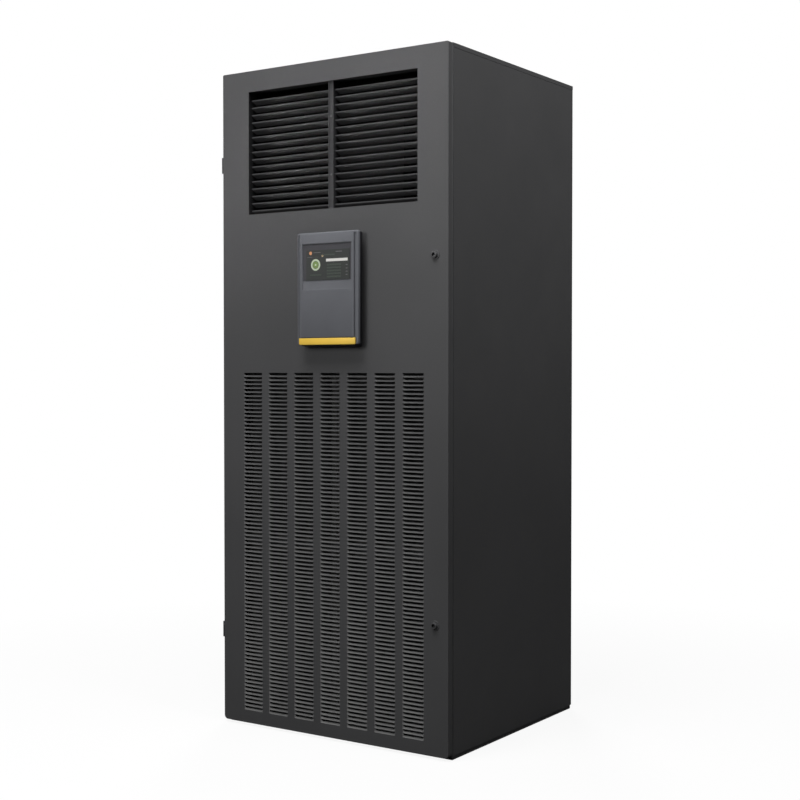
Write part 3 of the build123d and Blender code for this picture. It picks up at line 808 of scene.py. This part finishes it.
# What the screen shows: plain signs and bars, no words. Places are across and up from its middle, with
# the radius for discs, and the width and height for plates.
screen = {"thick": 0.00025}
signs = {
    "screenRing": {"light": lightPaleGreen, "disc": (-0.043, 0.001, 0.0165), "segments": 40,
                   "inner": 0.0112},
    "screenCore": {"light": lightGreen, "disc": (-0.043, 0.001, 0.0098), "segments": 32},
    "screenDot": {"light": lightOrange, "disc": (-0.061, 0.035, 0.005), "segments": 20},
    "screenBar": {"light": lightCream, "plates": [(0.0325, 0.013, 0.076, 0.0078)]},
    "screenSmallDot": {"light": lightSand, "disc": (-0.0185, 0.0262, 0.0034), "segments": 16},
    "screenCoreDot": {"light": lightPaleGreen, "disc": (-0.043, 0.001, 0.003), "segments": 16,
                      "onTop": True},
    "screenDashes": {"light": lightGrey, "plates": [
        (-0.038, 0.036, 0.026, 0.0014), (0.0395, 0.0365, 0.022, 0.0018), (-0.064, 0.0235, 0.018, 0.001),
        (0.067, -0.012, 0.006, 0.0016), (0.067, -0.03, 0.006, 0.0016),
        (0.067, -0.002, 0.006, 0.0016), (0.067, -0.021, 0.006, 0.0016),
    ]},
    "screenRows": {"light": lightMoss, "plates": [
        (0.022, 0.0, 0.05, 0.0048), (0.022, -0.0085, 0.05, 0.0048), (0.022, -0.017, 0.05, 0.0048),
        (0.022, -0.0255, 0.05, 0.0048), (0.022, -0.034, 0.05, 0.0048), (0.0, 0.0285, 0.05, 0.004),
        (-0.043, -0.028, 0.04, 0.004), (-0.043, 0.0235, 0.02, 0.0016),
    ]},
}


def makeScreen(settings, shown):
    low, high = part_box("display_screen")
    x, y, z = (low.x + high.x) / 2, low.y, (low.z + high.z) / 2
    thick = settings["thick"]
    for name, sign in shown.items():
        shape = bmesh.new()
        if "disc" in sign:
            across, up, radius = sign["disc"]
            base, deep = (y - thick, thick / 2) if sign.get("onTop") else (y, thick)
            addDisc(shape, (x + across, base, z + up), (0, -1, 0), radius, deep,
                    sign["segments"], sign.get("inner", 0.0))
        for across, up, wide, tall in sign.get("plates", ()):
            addBlock(shape, (x + across - wide / 2, y - thick, z + up - tall / 2),
                     (x + across + wide / 2, y, z + up + tall / 2))
        makePiece(name, shape, sign["light"], "door")


makeScreen(screen, signs)
print("display made")


# Screws of the mullion, the control cover and the rear panel. The rear panel is a folded tray, and lies
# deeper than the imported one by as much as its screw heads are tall.
screwHead = {"segments": 18, "crown": 0.78, "socket": 0.32, "socketSlope": 0.04, "socketDeep": 0.6}
screws = {
    "radius": 0.0035, "tall": 0.0016, "rearRadius": 0.0042, "margin": 0.014,
    "mullion": (1.64, 1.808), "coverGrid": (5, 2), "rearGrid": (4, 8),
}
rear = {"sunk": 0.0008, "sheet": 0.0015, "soft": 0.0004, "foldSoft": 0.0003}


def addScrew(shape, place, aim, radius, tall, settings=screwHead):
    # A low pan head with a socket, standing on place.
    aim = Vector(aim)
    made = bmesh.ops.create_cone(
        shape, cap_ends=True, segments=settings["segments"], radius1=radius,
        radius2=radius * settings["crown"], depth=tall, matrix=facing(Vector(place) + aim * tall / 2, aim))
    faces = {f for v in made["verts"] for f in v.link_faces}
    top = max(faces, key=lambda f: f.calc_center_median().dot(aim))
    bmesh.ops.inset_region(shape, faces=[top], thickness=radius * settings["socket"], depth=0)
    bmesh.ops.inset_region(shape, faces=[top], thickness=radius * settings["socketSlope"],
                           depth=-tall * settings["socketDeep"])


def screwSpots(low, high, margin, grid):
    # Places along the four edges of a plate, evenly spaced.
    columns, rows = grid
    xs = [low.x + margin + (high.x - low.x - 2 * margin) * k / (columns - 1) for k in range(columns)]
    zs = [low.z + margin + (high.z - low.z - 2 * margin) * k / (rows - 1) for k in range(rows)]
    return [(x, z) for x in xs for z in zs if x in (xs[0], xs[-1]) or z in (zs[0], zs[-1])]


def makeScrews(settings, panel):
    radius, tall, margin = settings["radius"], settings["tall"], settings["margin"]
    low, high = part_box("grille_mullion")
    shape = bmesh.new()
    for z in settings["mullion"]:
        addScrew(shape, ((low.x + high.x) / 2, low.y + mullion["deep"], z), (0, -1, 0), radius, tall)
    makePiece("mullionScrews", shape, mullionSteel, "door")

    low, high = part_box("control_cover")
    shape = bmesh.new()
    for x, z in screwSpots(low, high, margin, settings["coverGrid"]):
        addScrew(shape, (x, low.y, z), (0, -1, 0), radius, tall)
    makePiece("coverScrews", shape, screwSteel, "cabinet")

    low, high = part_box("rear_panel")
    shape = bmesh.new()
    for x, z in screwSpots(low, high, margin, settings["rearGrid"]):
        addScrew(shape, (x, high.y - panel["sunk"], z), (0, 1, 0), settings["rearRadius"], panel["sunk"])
    makePiece("rearScrews", shape, screwSteel, "cabinet")


def makeRearPanel(settings):
    low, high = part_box("rear_panel")
    back, sheet = high.y - settings["sunk"], settings["sheet"]
    shape = bmesh.new()
    addBlock(shape, (low.x, back - sheet, low.z), (high.x, back, high.z), settings["soft"])
    folds = [((x, low.y, low.z), (x + sheet, back - sheet / 2, high.z)) for x in (low.x, high.x - sheet)]
    folds += [((low.x, low.y, z), (high.x, back - sheet / 2, z + sheet)) for z in (low.z, high.z - sheet)]
    addBlocks(shape, folds, settings["foldSoft"])
    makePiece("rearPanel", shape, cabinetPaint, "cabinet", ["rear_panel"])


makeScrews(screws, rear)
makeRearPanel(rear)


# Locks: a painted barrel with a flange and a proud boss, and the plug with its cam and key socket
lock = {
    "places": (0.373, 1.392), "flange": 0.014, "flangeThick": 0.002, "boss": 0.009, "proud": 0.009,
    "bore": 0.0056, "barrel": 0.01, "barrelLong": 0.02, "round": 0.0012, "lip": 0.3, "turns": 40,
    "plug": 0.0055, "plugTurns": 32, "socket": 0.005, "deep": 0.005,
    "pin": 0.0013, "pinSunk": 0.001, "pinSoft": 0.0004, "pinSteps": 2,
    "camThick": 0.0025, "camWide": 0.016, "camCorner": 0.44, "camSteps": 5,
    "nut": 0.0055, "nutTall": 0.0035, "nutSides": 6,
}


def addLathe(shape, centre, profile, steps):
    # Turns a closed outline of radius and Y round an axis along Y through centre.
    verts = [shape.verts.new((centre[0] + radius, centre[1] + y, centre[2])) for radius, y in profile]
    edges = [shape.edges.new((a, b)) for a, b in zip(verts, verts[1:] + verts[:1])]
    bmesh.ops.spin(shape, geom=verts + edges, cent=centre, axis=(0, 1, 0), angle=2 * math.pi,
                   steps=steps, use_merge=True)
    bmesh.ops.recalc_face_normals(shape, faces=shape.faces)


def addRod(shape, radius, tall, centre, segments):
    # A round or many-sided rod along Y.
    bmesh.ops.create_cone(shape, cap_ends=True, segments=segments, radius1=radius, radius2=radius,
                          depth=tall, matrix=facing(centre, (0, 1, 0)))


def makeBarrels(settings):
    low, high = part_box("lock_barrels")
    x, doorY = (low.x + high.x) / 2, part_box("door_panel")[0].y
    soft, proud, thick = settings["round"], settings["proud"], settings["flangeThick"]
    bore, boss, barrel, flange = [settings[name] for name in ("bore", "boss", "barrel", "flange")]
    lip = soft * settings["lip"]
    profile = [
        (bore, settings["barrelLong"]), (barrel, settings["barrelLong"]), (barrel, 0.0), (flange, 0.0),
        (flange, soft / 2 - thick), (flange - soft / 2, -thick), (boss, -thick), (boss, soft - proud),
        (boss - lip, lip - proud), (boss - soft, -proud), (bore + lip, -proud), (bore, lip - proud),
    ]
    shape = bmesh.new()
    for z in settings["places"]:
        addLathe(shape, (x, doorY, z), profile, settings["turns"])
    makePiece("lockBosses", shape, lockPaint, "door", ["lock_barrels"], smooth=30)


def makeLocks(settings):
    plug, socket, deep, pin = [settings[name] for name in ("plug", "socket", "deep", "pin")]
    nutTall = settings["nutTall"]
    for level in ("upper", "lower"):
        low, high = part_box(f"lock_plug_{level}")
        x, z = (low.x + high.x) / 2, high.z - settings["camWide"] / 2
        startY, camY = low.y + deep, high.y - settings["camThick"]
        shape = bmesh.new()
        addRod(shape, plug, high.y - startY, (x, (startY + high.y) / 2, z), settings["plugTurns"])
        cam = addBlock(shape, (low.x, camY, low.z), high)
        corner = settings["camWide"] * settings["camCorner"]
        roundAlongY(shape, {e for v in cam for e in v.link_edges}, corner, settings["camSteps"])
        addRod(shape, settings["nut"], nutTall, (x, camY - nutTall / 2, z), settings["nutSides"])
        makePiece(f"lockPlug_{level}", shape, lockMetal, f"lock_{level}",
                  [f"lock_plug_{level}"], smooth=40)

        # The socket walls and pin are near black, painted shade that makes the key hole read deep and dark.
        shape = bmesh.new()
        profile = [(socket, 0.0), (plug, 0.0), (plug, deep), (socket, deep)]
        addLathe(shape, (x, low.y, z), profile, settings["plugTurns"])
        addBlock(shape, (x - pin, low.y + settings["pinSunk"], z - pin), (x + pin, startY, z + pin),
                 settings["pinSoft"], settings["pinSteps"])
        makePiece(f"keySocket_{level}", shape, keySocketShade, f"lock_{level}")


makeBarrels(lock)
makeLocks(lock)
print("screws and locks made")


# Filters: a card frame round pleated media, the media painted dark grey as painted shade for the dark
# behind the louvres
filters = {"border": 0.02, "soft": 0.001, "pleats": 13, "depth": 0.034, "margin": 0.005, "felt": 0.002}


def makeFilter(name, settings):
    low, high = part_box(name)
    border, folds = settings["border"], 2 * settings["pleats"]
    left, right, foot, head = low.x + border, high.x - border, low.z + border, high.z - border
    shape = bmesh.new()
    addBlocks(shape, [
        (low, (left, high.y, high.z)), ((right, low.y, low.z), high),
        ((left, low.y, low.z), (right, high.y, foot)), ((left, low.y, head), (right, high.y, high.z)),
    ], settings["soft"])
    makePiece(f"{name}_frame", shape, filterCard, "cabinet", [name])

    shape = bmesh.new()
    wide, tall = right - left, head - foot
    middle = Matrix.Translation(((left + right) / 2, 0, (foot + head) / 2))
    upright = Matrix.Rotation(math.pi / 2, 4, "X")
    bmesh.ops.create_grid(shape, x_segments=folds, y_segments=1, size=0.5,
                          matrix=middle @ upright @ Matrix.Diagonal((wide, tall, 1, 1)))
    for vert in shape.verts:
        fold = round((vert.co.x - left) / wide * folds) % 2
        vert.co.y = low.y + settings["margin"] + fold * settings["depth"]
    bmesh.ops.solidify(shape, geom=shape.faces[:], thickness=settings["felt"])
    makePiece(f"{name}_media", shape, filterMediaShaded, "cabinet", smooth=20)


for row in ("lower", "upper"):
    for side in ("left", "right"):
        makeFilter(f"filter_{row}_{side}", filters)
print("filters made")


# Foam gasket round the back of the door, thinner on the hinged side. Its grey is lighter than the paint
# beside it, painted light that lightens the shaded gap round the door
gasket = {"wide": 0.012, "inset": 0.0002, "thick": 0.0065, "hinged": 0.0048, "soft": 0.0008, "softSteps": 2}


def makeGasket(settings):
    low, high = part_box("door_panel")
    a, b = settings["inset"], settings["inset"] + settings["wide"]
    skin, out, hinged = high.y, high.y + settings["thick"], high.y + settings["hinged"]
    shape = bmesh.new()
    addBlocks(shape, [
        ((low.x + a, skin, low.z + a), (low.x + b, hinged, high.z - a)),
        ((high.x - b, skin, low.z + a), (high.x - a, out, high.z - a)),
        ((low.x + b, skin, low.z + a), (high.x - b, out, low.z + b)),
        ((low.x + b, skin, high.z - b), (high.x - b, out, high.z - a)),
    ], settings["soft"], settings["softSteps"])
    makePiece("doorGasket", shape, gasketFoamLightened, "door")


makeGasket(gasket)

print("scene done")
